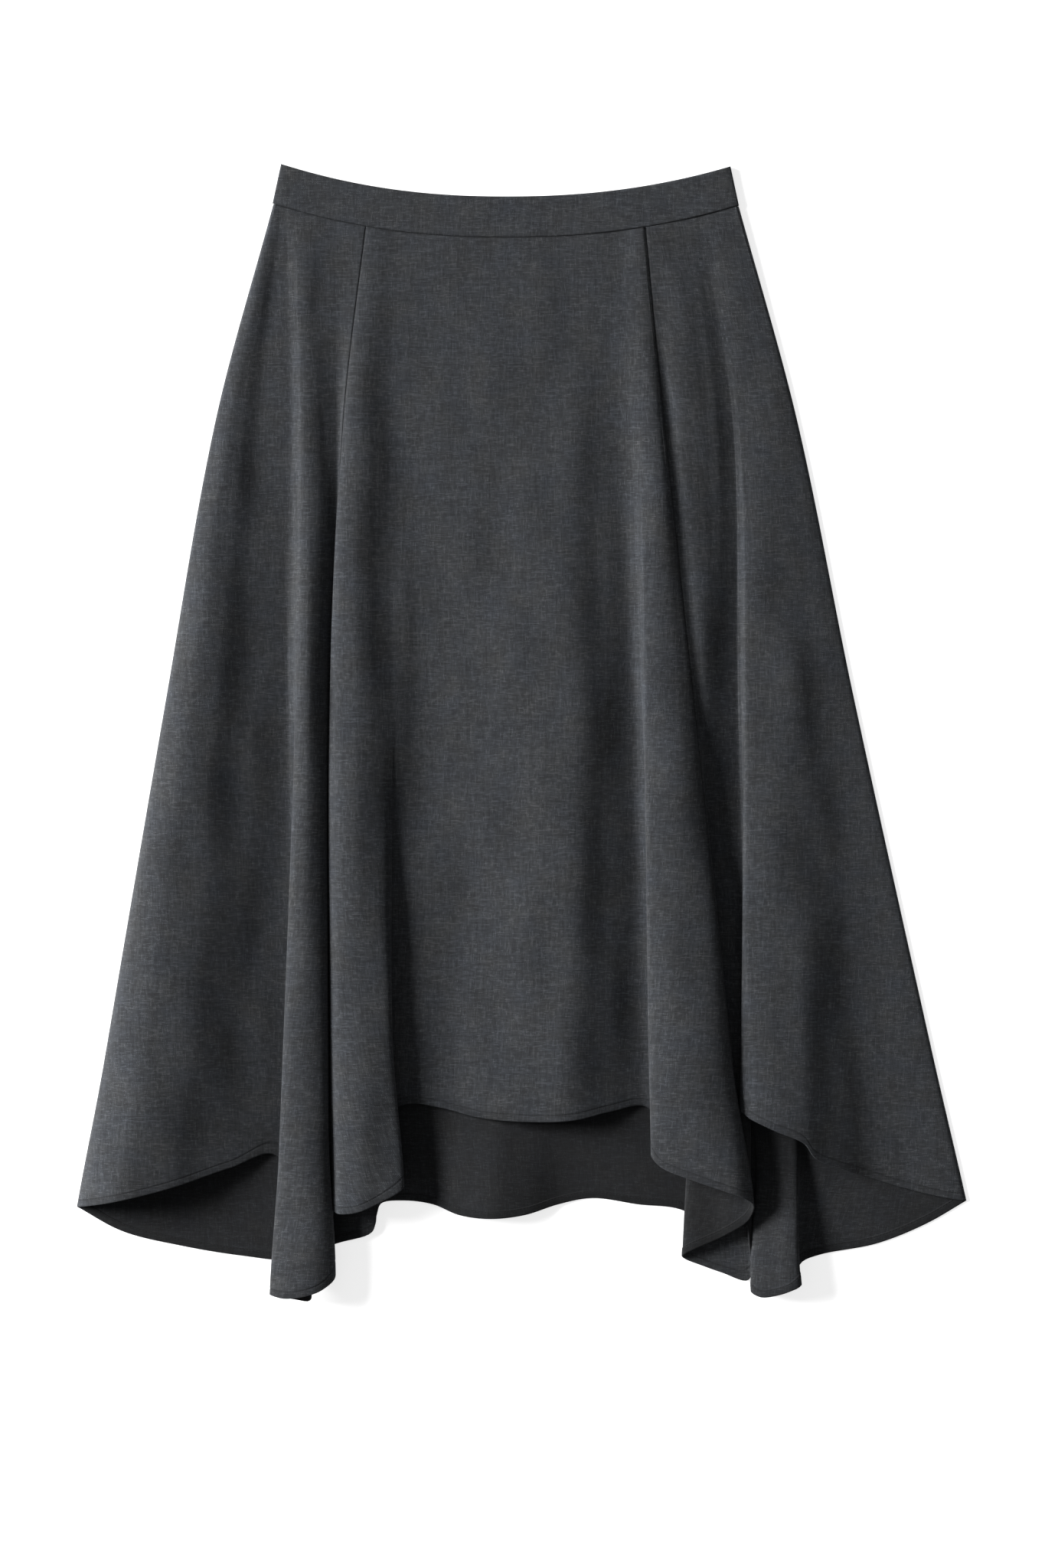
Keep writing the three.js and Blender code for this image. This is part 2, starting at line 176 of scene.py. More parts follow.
RIGHT_LINES = [
    [103, 121, 142.6, 172, 185, 801.5, 7.7, 12, 13],  # layer turned back under the third fold
    [110, 134, 146.2, 153, 166, 814, 7.8, 10.7, 10.6],  # small ridge at the hip, inner layer at the hem
    [120, 145, 150.2, 135.8, 131.4, 830.5, 7, 9.3, 8.4],  # turn of the inner layer, upper side
    [128, 152, 154.6, 136.8, 132.6, 833, 5.9, 7.8, 5.8],  # turn of the inner layer, lower side
    [134, 158.5, 160, 146, 147.5, 839, 5.1, 6, 4.2],  # start of the outer layer below it
    [139, 165, 167, 160, 163, 844.5, 3.5, 3.9, 3.6],  # floor of the right valley
    [143.5, 171, 174.6, 180, 185.2, 850.5, 2.4, 2.3, 3.2],  # right valley, hem's point
    [146, 173.4, 178, 188, 184.8, 812.5, 2.6, 3.5, 6.8],  # hidden turn
    [148, 174.9, 179.8, 184.5, 184, 762.5, 2.9, 5, 10.2],  # layer turned back under the right fold
    [149.6, 176.2, 181.2, 178.5, 178.5, 714, 3.3, 7, 13.8],  # right fold, left edge
    [151.5, 178.4, 184.4, 184.8, 186.4, 719, 3.8, 9, 18.2],  # right fold, left shoulder
    [156, 189, 200, 206, 206, 728.5, 4.5, 10, 20.4],  # right fold, crest
    [160.5, 202, 217, 229.5, 230, 739, 4.2, 9.1, 19.8],  # right fold, right slope
    [164, 209, 229, 237.5, 239, 751, 4, 7.4, 18.2],  # right fold, right edge
    [167, 214, 239, 257, 260, 759.5, 3.6, 5.7, 11.8],  # side slope
    [170, 218.5, 249, 279, 283, 766.5, 3.2, 4.4, 4.8],  # foot of the side slope
    [172.8, 221.5, 258.5, 306, 312, 775.5, 2.8, 3.4, 2.8],  # flat side
    [175.2, 223.8, 266.5, 340, 348, 784, 2.4, 2.6, 2.6],  # flat side, outer edge
    [177, 225, 271, 354, 363, 786, 2.1, 2.1, 2.1],  # side seam
]

# The back's columns are the same, but in place of the heights they give how far the cloth rises by the
# hem, and the painted shade of its inside against its outside: low values paint the shade under the front,
# higher ones paint light onto the hem's folds and into the shadows beside them
BACK_COLUMNS = ["waist", "hip", "middle", "low", "hem_across", "hem_drop", "hem_rise", "shade"]
BACK_LINES = [
    [-203, -250, -290, -354, -363, 791, 0, 0.36],  # left side seam
    [-186, -226, -259, -314, -326, 811, 0, 0.36],
    [-165, -196, -222, -265, -277, 823, 0, 0.36],
    [-143, -166, -184, -218, -228, 831, 0, 0.36],
    [-122, -138, -151, -179, -188, 834, 0, 0.36],
    [-103, -113, -122, -146, -151, 821, 0.8, 0.36],
    [-90, -98, -106, -124, -122, 811.5, 3, 0.85],  # small ridge where the hem steps up
    [-84, -91, -98, -117, -118.8, 799, 2.6, 0.9],
    [-78, -84, -90, -110, -115, 788.5, 0.8, 0.9],
    [-58, -62, -66, -84, -96, 786, 0, 0.85],
    [-42, -45, -49, -62, -72.5, 789, 1.5, 0.6],
    [-28, -30, -32, -42, -51, 797.5, 7.5, 0.36],  # low fold, left slope
    [-13, -14, -15, -22, -26, 800.5, 11.5, 0.36],  # low fold, crest
    [2, 2, 2, 0, 2.5, 797.5, 7.5, 0.36],  # low fold, right slope
    [20, 20, 22, 26, 30, 789, 1.5, 0.29],
    [38, 40, 44, 53, 57.5, 784, 0, 0.29],
    [58, 64, 72, 86, 94, 789, 0, 0.29],
    [76, 88, 102, 124, 134, 795, 0, 0.29],
    [94, 112, 132, 156, 168, 826, 0, 0.8],
    [106, 128, 152, 190, 190.8, 856, 0, 0.85],  # hem fold, left foot
    [110, 133, 158, 193, 187.6, 860.5, 6, 0.8],  # hem fold, left edge
    [114, 138, 165, 198, 195, 864.5, 9.5, 0.7],  # hem fold, left shoulder
    [118, 143, 171, 206, 205.5, 863.5, 12, 0.64],  # hem fold, crest
    [122, 148, 177, 216, 218.5, 859.5, 15, 0.62],  # hem fold, right shoulder
    [127, 154, 184, 224, 227.5, 854.5, 14, 0.66],  # hem fold, right edge
    [132, 160, 191, 229, 223.5, 846, 6.5, 0.9],  # hem fold, layer turned back
    [137, 166, 198, 236, 229, 836, 0, 0.9],  # hem fold, lower turn
    [143, 174, 208, 248, 244, 830, 0, 0.75],
    [154, 190, 229, 284, 290, 821, 0, 0.5],
    [166, 208, 250, 320, 330, 805, 0, 0.36],
    [177, 225, 271, 354, 363, 786, 0, 0.36],  # right side seam
]

# Soft creases, in mm: where each starts and ends, its half width, and its height, which is
# negative for a trough. A crease grows over the first share of its length and fades after the second one.
CREASE_GROWN = 0.35
CREASE_FADES = 0.6
CREASE_COLUMNS = ["across_from", "drop_from", "across_to", "drop_to", "half_width", "height"]
CREASES = [
    [-178, 4, -205, 118, 9, 0.9],  # drag from the waist seam, left side
    [-158, 6, -172, 96, 7, -0.8],
    [-95, 8, -104, 120, 10, 0.8],  # drag beside the left princess seam
    [-72, 14, -80, 150, 12, -0.7],
    [-30, 10, -36, 92, 16, 0.5],
    [34, 12, 40, 135, 15, -0.5],
    [70, 8, 82, 128, 9, 0.7],
    [118, 4, 140, 92, 8, 0.8],  # drag beside the right princess seam
    [146, 6, 176, 120, 8, -0.8],
    [109, 46, 138, 318, 5.5, -1.9],  # trough beside the right princess seam
    [131, 236, 157, 505, 5, -1.6],
    [-300, 420, -330, 640, 16, 0.9],  # slack at the left side
    [-246, 300, -262, 520, 14, 0.8],
    [-222, 560, -236, 716, 12, -0.7],
    [-60, 210, -44, 420, 22, 0.8],  # long slack folds of the centre
    [4, 300, -6, 560, 26, 0.9],
    [-46, 470, -54, 690, 18, -0.8],
    [40, 520, 34, 700, 16, 0.7],
    [62, 180, 70, 380, 14, -0.6],
    [214, 300, 246, 520, 13, 0.8],  # slack at the right side
    [262, 470, 296, 690, 16, 0.9],
    [238, 610, 262, 742, 11, -0.8],
    [306, 560, 330, 720, 13, -0.6],
]

# Slow unevenness of the lying cloth: wave length across and down in mm, turn of the wave, and height
WAVE_COLUMNS = ["across_length", "down_length", "turn", "height"]
WAVES = [
    [83, 260, 0.4, 0.34],
    [57, -190, 1.9, 0.26],
    [131, 118, 3.1, 0.30],
    [39, 410, 4.4, 0.16],
    [-71, 97, 5.2, 0.18],
]

# Height above its lowest place, in mm, at which the cloth has its creases at their full height
CLEARANCE_FOR_CREASES = 5.0

# Painted shade of the skirt's inside against its outside, standing in for the shade under the front, and the
# drops between which the painted light on the back's hem folds grows in
INSIDE_PAINTED_SHADE = 0.36
PAINTED_LIGHT_DROPS = (745.0, 800.0)

# Edges of the cloth, in mm: reach of the rolls into the waist seam and into a princess seam and of the
# drop at a side seam, radii of the hem and of the side edges, least distance that a side edge is rounded
# from, reach of the stitches' dimple, and where the hem's turning ends about its depth
EDGES = {
    "waist_roll": 1.1,
    "seam_roll": 0.8,
    "side_roll": 1.8,
    "hem_radius": 0.7,
    "side_radius": 0.5,
    "side_start": 0.02,
    "dimple": 0.42,
    "turn_ends": (-0.3, 0.2),
}

# Painted shade: how much darker the cloth is painted in the stitched groove and at a seam, where shade
# falls, on the outer face of its hem, and on the inner face of its hem, where it stands in for the shadow of
# the hem's turning, and, in mm, how far the shades of the groove, the waist seam and a princess seam reach,
# and where the hem's shade ends about its depth
PAINTED_SHADES = {
    "groove": 0.22,
    "seam": 0.34,
    "hem_outer": 0.16,
    "hem_inner": 0.34,
    "groove_reach": 0.45,
    "waist_reach": 1.0,
    "seam_reach": 0.9,
    "hem_ends": (-0.2, 0.4),
}

# Rings of one stitch: the place of each along the stitch, as a share of its pitch, and its height in
# thread radii. Then the sides of the thread, and how far, in mm, before and after a ring the points lie
# that give the thread's way.
STITCH_RINGS = [(-0.42, -0.9), (-0.3, 0.35), (0, 0.75), (0.3, 0.35), (0.42, -0.9)]
STITCH_SIDES = 6
STITCH_NEARBY = 0.3

# Weave. Of its two sets of threads, across and down: how much the shade varies along a thread, and the
# factor and start that give each thread and each streak a noise of its own. Then the streaks to a thread,
# the slubs to a streak's length, the size of a fibre in threads, how far threads and fibres spread the
# shade, between which shades and fibres a slub shows, and how high the fibres stand on the threads.
WEAVE = {
    "contrasts": (0.92, 1.14),
    "thread_seeds": ((3.173, 11.3), (4.173, 51.3)),
    "streak_seeds": ((2.71, 7.7), (3.71, 67.7)),
    "streaks_to_thread": 0.6,
    "slubs_to_streak": 4.0,
    "fibre_size": 0.62,
    "thread_spread": 1.9,
    "fibre_spread": 1.6,
    "slub_shades": (0.60, 0.74),
    "slub_fibres": (0.3, 0.6),
    "fibre_height": 0.8,
}

# Distances in mm of the rows of points from the hem and from the waist seam, and of the columns from a
# princess seam
HEM_STEPS = [13, 10.5, 8.6, 7.4, 6.8, 6.4, 6.1, 5.85, 5.6, 5.35, 5.1, 4.7, 4, 3, 2, 1.2, 0.6, 0.25, 0.08, 0]
TOP_STEPS = [0, 0.3, 0.8, 1.5, 2.4, 3.6, 5.4]
SEAM_STEPS = [0, 0.1, 0.32, 0.7, 1.2, 1.9, 2.9]


class SkirtCut(bpy.types.PropertyGroup):
    """Sizes of the cloth, its hems and its sewing"""

    cloth: bpy.props.FloatProperty(
        name="Cloth", description="Thickness of one layer of cloth", default=0.0008, unit="LENGTH")
    hem_turn: bpy.props.FloatProperty(
        name="Hem turn", description="Depth of the narrow double hem", default=0.0062, unit="LENGTH")
    hem_fold: bpy.props.FloatProperty(
        name="Hem fold", description="Thickness that the hem's turning adds inside", default=0.0005,
        unit="LENGTH")
    stitch_line: bpy.props.FloatProperty(
        name="Stitch line", description="From the hem's edge to its row of stitches", default=0.0054,
        unit="LENGTH")
    stitch: bpy.props.FloatProperty(
        name="Stitch", description="Length of one stitch with its gap", default=0.0027, unit="LENGTH")
    thread: bpy.props.FloatProperty(
        name="Thread", description="Thickness of the sewing thread", default=0.00028, unit="LENGTH")
    dimple: bpy.props.FloatProperty(
        name="Dimple", description="How deep the stitches pull the cloth in", default=0.00022, unit="LENGTH")
    seam_roll: bpy.props.FloatProperty(
        name="Seam roll", description="How far cloth rolls down into a seam", default=0.00032, unit="LENGTH")
    fine_step: bpy.props.FloatProperty(
        name="Front step", description="Widest step between points of the front", default=0.0036,
        unit="LENGTH")
    back_step: bpy.props.FloatProperty(
        name="Back step", description="Widest step between points of the back", default=0.0046,
        unit="LENGTH")


class SkirtColours(bpy.types.PropertyGroup):
    """Colours and scale of the melange weave"""

    dark: bpy.props.FloatVectorProperty(
        name="Dark fibre", description="Darkest threads", default=(0.0116, 0.0124, 0.0141),
        subtype="COLOR", size=3, min=0, max=1)
    middle: bpy.props.FloatVectorProperty(
        name="Main fibre", description="Most of the threads", default=(0.0297, 0.0321, 0.0357),
        subtype="COLOR", size=3, min=0, max=1)
    light: bpy.props.FloatVectorProperty(
        name="Light slub", description="Thin light slubs in the threads", default=(0.081, 0.087, 0.094),
        subtype="COLOR", size=3, min=0, max=1)
    sewing: bpy.props.FloatVectorProperty(
        name="Sewing thread", description="Thread of the hems", default=(0.0100, 0.0106, 0.0118),
        subtype="COLOR", size=3, min=0, max=1)
    pitch: bpy.props.FloatProperty(
        name="Thread pitch", description="From one thread of the weave to the next", default=0.00066,
        unit="LENGTH")


class SkirtStudio(bpy.types.PropertyGroup):
    """Camera, light and floor"""

    lens: bpy.props.FloatProperty(
        name="Lens", description="Focal length in mm", default=180, min=20)
    view_height: bpy.props.FloatProperty(
        name="View height", description="Height that the image covers", default=1.28, unit="LENGTH")
    key: bpy.props.FloatProperty(
        name="Key light", description="Power of the large soft light on the left", default=1760, min=0,
        subtype="POWER")
    key_distance: bpy.props.FloatProperty(
        name="Key distance", description="From the skirt to the soft light", default=7.0, unit="LENGTH")
    key_height: bpy.props.FloatProperty(
        name="Key elevation", description="Angle of the soft light above the floor", default=0.35,
        subtype="ANGLE")
    key_turn: bpy.props.FloatProperty(
        name="Key direction", description="Turn of the soft light from straight left towards the waist",
        default=0.26, subtype="ANGLE")
    sky: bpy.props.FloatProperty(
        name="Sky", description="Brightness of the even light from all round", default=0.26, min=0)
    key_width: bpy.props.FloatProperty(
        name="Key width", description="Width of the soft light", default=3.2, unit="LENGTH")
    key_depth: bpy.props.FloatProperty(
        name="Key depth", description="Height of the soft light", default=2.3, unit="LENGTH")
    floor_glow: bpy.props.FloatProperty(
        name="Floor glow", description="Light of the pale table itself, which softens the shadows on it",
        default=0.70, min=0)
    floor: bpy.props.FloatVectorProperty(
        name="Floor", description="Colour of the floor", default=(0.60, 0.60, 0.60), subtype="COLOR",
        size=3, min=0, max=1)


def as_columns(rows, names):
    """Table of rows as one array for each named column"""
    table = np.array(rows, float)
    return {name: table[:, i] for i, name in enumerate(names)}


def smooth_step(value, low, high):
    """Smooth rise from 0 at low to 1 at high"""
    share = np.clip((value - low) / (high - low), 0, 1)
    return share * share * (3 - 2 * share)


def bell(distance, reach):
    """Soft bump that is 1 at no distance and fades over its reach"""
    return np.exp(-((distance / reach) ** 2))


def edge_drop(across, half, rise, drop):
    """Drop of an edge of the waistband at a place across the skirt"""
    share = np.minimum(np.abs(across - BAND["centre"]) / half, 1)
    end_rise = np.where(across < BAND["centre"], rise + BAND["left_lift"], rise)
    return drop - end_rise * share ** BAND["curve_power"]


def seam_drop(across):
    """Drop of the waist seam"""
    return edge_drop(across, BAND["half_seam"], BAND["seam_rise"], 0)


def top_drop(across):
    """Drop of the waistband's top edge"""
    return edge_drop(across, BAND["half_top"], BAND["top_rise"], -BAND["height"])


def follow_levels(levels, drops):
    """Smooth curve through each line's four level values, straight past its ends"""
    last = len(LEVEL_DROPS) - 1
    ends = [(max(k - 1, 0), min(k + 1, last)) for k in range(last + 1)]
    slopes = [(levels[b] - levels[a]) / (LEVEL_DROPS[b] - LEVEL_DROPS[a]) for a, b in ends]
    result = levels[0] + slopes[0] * (drops - LEVEL_DROPS[0])
    for k in range(last):
        span = LEVEL_DROPS[k + 1] - LEVEL_DROPS[k]
        t = (drops - LEVEL_DROPS[k]) / span
        ease = t * t * (3 - 2 * t)
        pull = t * (1 - t) ** 2 * span * slopes[k] - t * t * (1 - t) * span * slopes[k + 1]
        curve = levels[k] + (levels[k + 1] - levels[k]) * ease + pull
        result = np.where(drops > LEVEL_DROPS[k], curve, result)
    beyond = levels[last] + slopes[last] * (drops - LEVEL_DROPS[last])
    return np.where(drops >= LEVEL_DROPS[last], beyond, result)


def line_points(side, drops):
    """Points on every line of one side at its drops: an array of rows, lines and three coordinates"""
    lines = side["lines"]
    levels = [lines[name] for name in ("waist", "hip", "middle", "low")]
    turn = smooth_step(drops, lines["hem_drop"] - HEM_REACH, lines["hem_drop"])
    missing = lines["hem_across"] - follow_levels(levels, lines["hem_drop"])
    across = follow_levels(levels, drops) + missing * turn
    return np.stack([across, -drops, side["height"](lines, drops)], axis=-1)


def front_height(lines, drops):
    """Height of the middle of the front's cloth"""
    start = np.where(lines["hip_height"] > FRONT_SIDE, FRONT_WAIST, FRONT_SIDE)
    levels = [start, lines["hip_height"], lines["middle_height"], lines["low_height"]]
    return np.maximum(follow_levels(levels, drops), FRONT_SIDE)


def back_height(lines, drops):
    """Height of the middle of the back's cloth"""
    return BACK_REST + lines["hem_rise"] * smooth_step(drops, BACK_FOLD_START, lines["hem_drop"])


def curve_through(points, places):
    """Centripetal curves through the points of each row, at places counted in points along the row"""
    before = 2 * points[:, :1] - points[:, 1:2]
    after = 2 * points[:, -1:] - points[:, -2:-1]
    knots = np.concatenate([before, points, after], axis=1)
    first = np.clip(places.astype(int), 0, points.shape[1] - 2)
    t = (places - first)[..., None]
    rows = np.arange(points.shape[0])[:, None]
    p0, p1, p2, p3 = (knots[rows, first + k] for k in range(4))
    steps = [np.sum((b - a) ** 2, axis=-1, keepdims=True) ** 0.25 for a, b in ((p0, p1), (p1, p2), (p2, p3))]
    tiny = 1e-4
    middle = np.where(steps[1] < tiny, 1, steps[1])
    start = np.where(steps[0] < tiny, middle, steps[0])
    end = np.where(steps[2] < tiny, middle, steps[2])
    leave = ((p1 - p0) / start - (p2 - p0) / (start + middle) + (p2 - p1) / middle) * middle
    arrive = ((p2 - p1) / middle - (p3 - p1) / (middle + end) + (p3 - p2) / end) * middle
    square = -3 * p1 + 3 * p2 - 2 * leave - arrive
    cube = 2 * p1 - 2 * p2 + leave + arrive
    return p1 + leave * t + square * t * t + cube * t ** 3


def lengths_along(points, axis):
    """Length from the first point to each point, along one axis of a grid"""
    steps = np.linalg.norm(np.diff(points, axis=axis), axis=-1)
    start = np.zeros_like(np.take(steps, [0], axis=axis))
    return np.cumsum(np.concatenate([start, steps], axis=axis), axis=axis)


def hem_slant(side):
    """How much longer each line's way down to the hem is than the way straight across the hem's turn"""
    lines = side["lines"]
    ends = line_points(side, lines["hem_drop"][None, :])[0]
    way = np.gradient(ends, axis=0)
    level = np.hypot(way[:, 0], way[:, 2])
    slant = np.hypot(level, way[:, 1]) / np.maximum(level, 1e-6)
    return np.clip(slant, 1, side["most_slant"])


def row_drops(side, step):
    """Drops of the rows of points on each line: close together at the waist seam and at the hem"""
    lines = side["lines"]
    slant = hem_slant(side)
    top = seam_drop(lines["waist"]) + SEAM_GAP / 2
    near_top = [top + distance for distance in TOP_STEPS]
    near_hem = [lines["hem_drop"] - distance * slant for distance in HEM_STEPS]
    body = int(np.max(near_hem[0] - near_top[-1]) / step)
    shares = [(k + 1) / (body + 1) for k in range(body)]
    between = [near_top[-1] + (near_hem[0] - near_top[-1]) * share for share in shares]
    return np.array(near_top + between + near_hem)


def column_places(points, start, end, step, seams):
    """Places of the columns of points along each row, from one line to another. Steps are no longer than
    step anywhere, and close together beside an edge that is sewn to a neighbour."""
    gaps = np.linalg.norm(np.diff(points, axis=1), axis=-1)
    columns = []
    for line in range(start, end):
        gap = gaps[:, line]
        count = max(3, int(np.ceil(gap.max() / step)))
        near = [0.0]
        if line == start and seams[0]:
            near = SEAM_STEPS
        low = [np.full_like(gap, line) + distance / gap for distance in near]
        far = []
        if line == end - 1 and seams[1]:
            far = [line + 1 - distance / gap for distance in reversed(SEAM_STEPS[1:])]
        high = far[0] if far else np.full_like(gap, line + 1)
        inside = [low[-1] + (high - low[-1]) * k / count for k in range(1, count)]
        columns += [*low, *inside, *far]
    columns.append(np.full(len(gaps), float(end)))
    return np.stack(columns, axis=1)


def crease_heights(across, drop):
    """Height that the listed creases and the slow unevenness add at places of the laid-out cloth"""
    total = np.zeros_like(across)
    creases = as_columns(CREASES, CREASE_COLUMNS)
    for k in range(len(CREASES)):
        crease = {name: values[k] for name, values in creases.items()}
        way = np.array([crease["across_to"] - crease["across_from"], crease["drop_to"] - crease["drop_from"]])
        length = np.hypot(*way)
        along = ((across - crease["across_from"]) * way[0] + (drop - crease["drop_from"]) * way[1]) / length
        aside = ((across - crease["across_from"]) * way[1] - (drop - crease["drop_from"]) * way[0]) / length
        inside = smooth_step(along, 0, length * CREASE_GROWN)
        inside *= smooth_step(-along, -length, -length * CREASE_FADES)
        total += crease["height"] * inside * bell(aside, crease["half_width"])
    waves = as_columns(WAVES, WAVE_COLUMNS)
    for k in range(len(WAVES)):
        phase = across / waves["across_length"][k] + drop / waves["down_length"][k]
        total += waves["height"][k] * np.sin(2 * np.pi * phase + waves["turn"][k])
    return total


def out_of_cloth(points):
    """Direction straight out of the cloth at each point of a grid"""
    down = np.gradient(points, axis=0)
    across = np.gradient(points, axis=1)
    out = np.cross(down, across)
    return out / np.maximum(np.linalg.norm(out, axis=-1, keepdims=True), 1e-9)


def along_hem(values, places):
    """Values of the lines at the places of the columns"""
    return curve_through(np.repeat(values[None, :, None], 3, axis=2), places[-1:])[0, :, 0]


def cloth_grid(side, start, end, seams, step):
    """Middle of one panel's cloth: its points in mm, distances to its edges, and its place on the weave"""
    drops = row_drops(side, step)
    on_lines = line_points(side, drops)
    places = column_places(on_lines, start, end, step, seams)
    points = curve_through(on_lines, places)
    points[0, :, 1] = -seam_drop(points[0, :, 0]) - SEAM_GAP / 2
    across, drop = points[..., 0], -points[..., 1]
    room = np.clip((points[..., 2] - side["lowest"]) / CLEARANCE_FOR_CREASES, 0, 1)
    points[..., 2] += side["creased"] * room * crease_heights(across, drop)
    points[..., 2] = np.maximum(points[..., 2], side["lowest"])
    slant = along_hem(hem_slant(side), places)
    to_hem = (lengths_along(points[::-1], 0)[::-1]) / slant
    from_top = lengths_along(points, 0)
    from_start = lengths_along(points, 1)
    from_end = from_start[:, -1:] - from_start
    middle = points.shape[1] // 2
    level = np.hypot(np.diff(across, axis=1), np.diff(points[..., 2], axis=1))
    weft = np.concatenate([np.zeros((len(level), 1)), np.cumsum(level, axis=1)], axis=1)
    weft -= weft[:, middle:middle + 1]
    return {
        "points": points,
        "to_hem": to_hem,
        "from_top": from_top,
        "edges": (from_start, from_end),
        "weave": np.stack([weft, -drop], axis=-1) * MM,
        # painted shade and painted light of the skirt's inside, from line to line
        "painted_inside_shading": along_hem(side["painted_inside_shading"], places),
    }


def rounded(distance, radius):
    """Share of its thickness that the cloth has this far from a rounded edge"""
    share = np.clip(distance / radius, 0, 1)
    return np.sqrt(1 - (1 - share) ** 2)


def panel_skins(side, grid, cut, seams):
    """Outer and inner skins of one panel round the middle of its cloth, with its hem's turning, its row
    of stitches and its edges rolled down into their seams"""
    points = grid["points"]
    half = cut.cloth / 2 / MM
    roll = cut.seam_roll / MM
    middle = points.copy()
    out = out_of_cloth(points)
    sinking = roll * bell(grid["from_top"], EDGES["waist_roll"])
    for sewn, distance in zip(seams, grid["edges"]):
        if sewn:
            sinking += roll * bell(distance, EDGES["seam_roll"])
    middle -= out * (sinking * side["up"])[..., None]
    side_drop = side["side_drop"] + side["steep_drop"] * (1 - np.abs(out[..., 2]))
    for sewn, distance in zip(seams, grid["edges"]):
        if not sewn:
            middle[..., 2] -= side_drop * bell(distance, EDGES["side_roll"])
    thickness = half * rounded(grid["to_hem"], EDGES["hem_radius"])
    for distance in grid["edges"]:
        thickness *= rounded(distance + EDGES["side_start"], EDGES["side_radius"])
    dimple = cut.dimple / MM * bell(grid["to_hem"] - cut.stitch_line / MM, EDGES["dimple"])
    turn_start, turn_end = (cut.hem_turn / MM + end for end in EDGES["turn_ends"])
    turn = cut.hem_fold / MM * (1 - smooth_step(grid["to_hem"], turn_start, turn_end))
    turn *= rounded(grid["to_hem"], EDGES["hem_radius"])
    outer = thickness - dimple
    inner = thickness + turn - dimple
    upper = outer if side["up"] > 0 else inner
    lower = inner if side["up"] > 0 else outer
    skins = [middle + out * upper[..., None], middle - out * lower[..., None]]
    for skin in skins:
        skin[..., 2] = np.maximum(skin[..., 2], FLOOR_GAP)
    return skins, out


def painted_skin_shades(side, grid, cut, seams):
    """Painted shade of a panel's upper and lower skins: darker in the stitched groove, along its seams and
    its hem, and on its inside, where it stands in for the shade under the front, with painted light on the
    back's hem folds
    """
    hem_start, hem_end = (cut.hem_turn / MM + end for end in PAINTED_SHADES["hem_ends"])
    hem = 1 - smooth_step(grid["to_hem"], hem_start, hem_end)
    # Painted shade in the stitched groove and along the waist seam and the princess seams, where shade falls
    groove = bell(grid["to_hem"] - cut.stitch_line / MM, PAINTED_SHADES["groove_reach"])
    sewn = bell(grid["from_top"], PAINTED_SHADES["waist_reach"])
    for is_seam, distance in zip(seams, grid["edges"]):
        if is_seam:
            sewn = np.maximum(sewn, bell(distance, PAINTED_SHADES["seam_reach"]))
    both = (1 - PAINTED_SHADES["groove"] * groove) * (1 - PAINTED_SHADES["seam"] * sewn)
    outer = both * (1 - PAINTED_SHADES["hem_outer"] * hem)
    # The inside's painted shade stands in for the shade under the front; where the back's values are higher,
    # painted light on its hem folds and in the shadows beside them grows in between the two drops
    painted_lightening = grid["painted_inside_shading"] - INSIDE_PAINTED_SHADE
    painted_lightening = np.where(painted_lightening > 0, painted_lightening * smooth_step(-grid["points"][..., 1], *PAINTED_LIGHT_DROPS), painted_lightening)
    inner = both * (1 - PAINTED_SHADES["hem_inner"] * hem) * (INSIDE_PAINTED_SHADE + painted_lightening)
    return (outer, inner) if side["up"] > 0 else (inner, outer)


def add_object(name, data):
    """New object in the scene"""
    made = bpy.data.objects.new(name, data)
    bpy.context.scene.collection.objects.link(made)
    return made


def to_frame(points):
    """Points of the tables' millimetres in the frame's metres"""
    return (points + np.array([-ORIGIN_ACROSS, ORIGIN_DROP, 0])) * MM


def closed_shell(name, skins, weave, marks, material):
    """Closed shell between an upper and a lower skin of the same grid, as one smooth mesh object"""
    rows, columns = skins[0].shape[:2]
    vertices = to_frame(np.concatenate([skin.reshape(-1, 3) for skin in skins]))
    index = np.arange(2 * rows * columns).reshape(2, rows, columns)
    up, low = index
    quads = [
        np.stack([up[:-1, :-1], up[1:, :-1], up[1:, 1:], up[:-1, 1:]], axis=-1).reshape(-1, 4),
        np.stack([low[:-1, :-1], low[:-1, 1:], low[1:, 1:], low[1:, :-1]], axis=-1).reshape(-1, 4),
        np.stack([up[:-1, 0], low[:-1, 0], low[1:, 0], up[1:, 0]], axis=-1),
        np.stack([up[:-1, -1], up[1:, -1], low[1:, -1], low[:-1, -1]], axis=-1),
        np.stack([up[0, :-1], up[0, 1:], low[0, 1:], low[0, :-1]], axis=-1),
        np.stack([up[-1, :-1], low[-1, :-1], low[-1, 1:], up[-1, 1:]], axis=-1),
    ]
    faces = np.concatenate(quads)
    mesh = bpy.data.meshes.new(name)
    mesh.from_pydata(vertices.tolist(), [], faces.tolist())
    if mesh.validate():
        raise RuntimeError(name + ": the mesh had faults")
    mesh.polygons.foreach_set("use_smooth", np.ones(len(faces), bool))
    uv = np.concatenate([weave.reshape(-1, 2)] * 2)[faces.ravel()]
    mesh.uv_layers.new(name="weave").data.foreach_set("uv", uv.ravel().astype(np.float32))
    for mark, values in marks.items():
        both = np.concatenate([np.broadcast_to(value, (rows, columns)).ravel() for value in values])
        mesh.attributes.new(mark, "FLOAT", "POINT").data.foreach_set("value", both.astype(np.float32))
    mesh.materials.append(material)
    mesh.update()
    return add_object(name, mesh)


def along_row(place, way, values):
    """Three-part value at a length along a row of points"""
    return np.array([np.interp(place, way, values[:, i]) for i in range(3)])


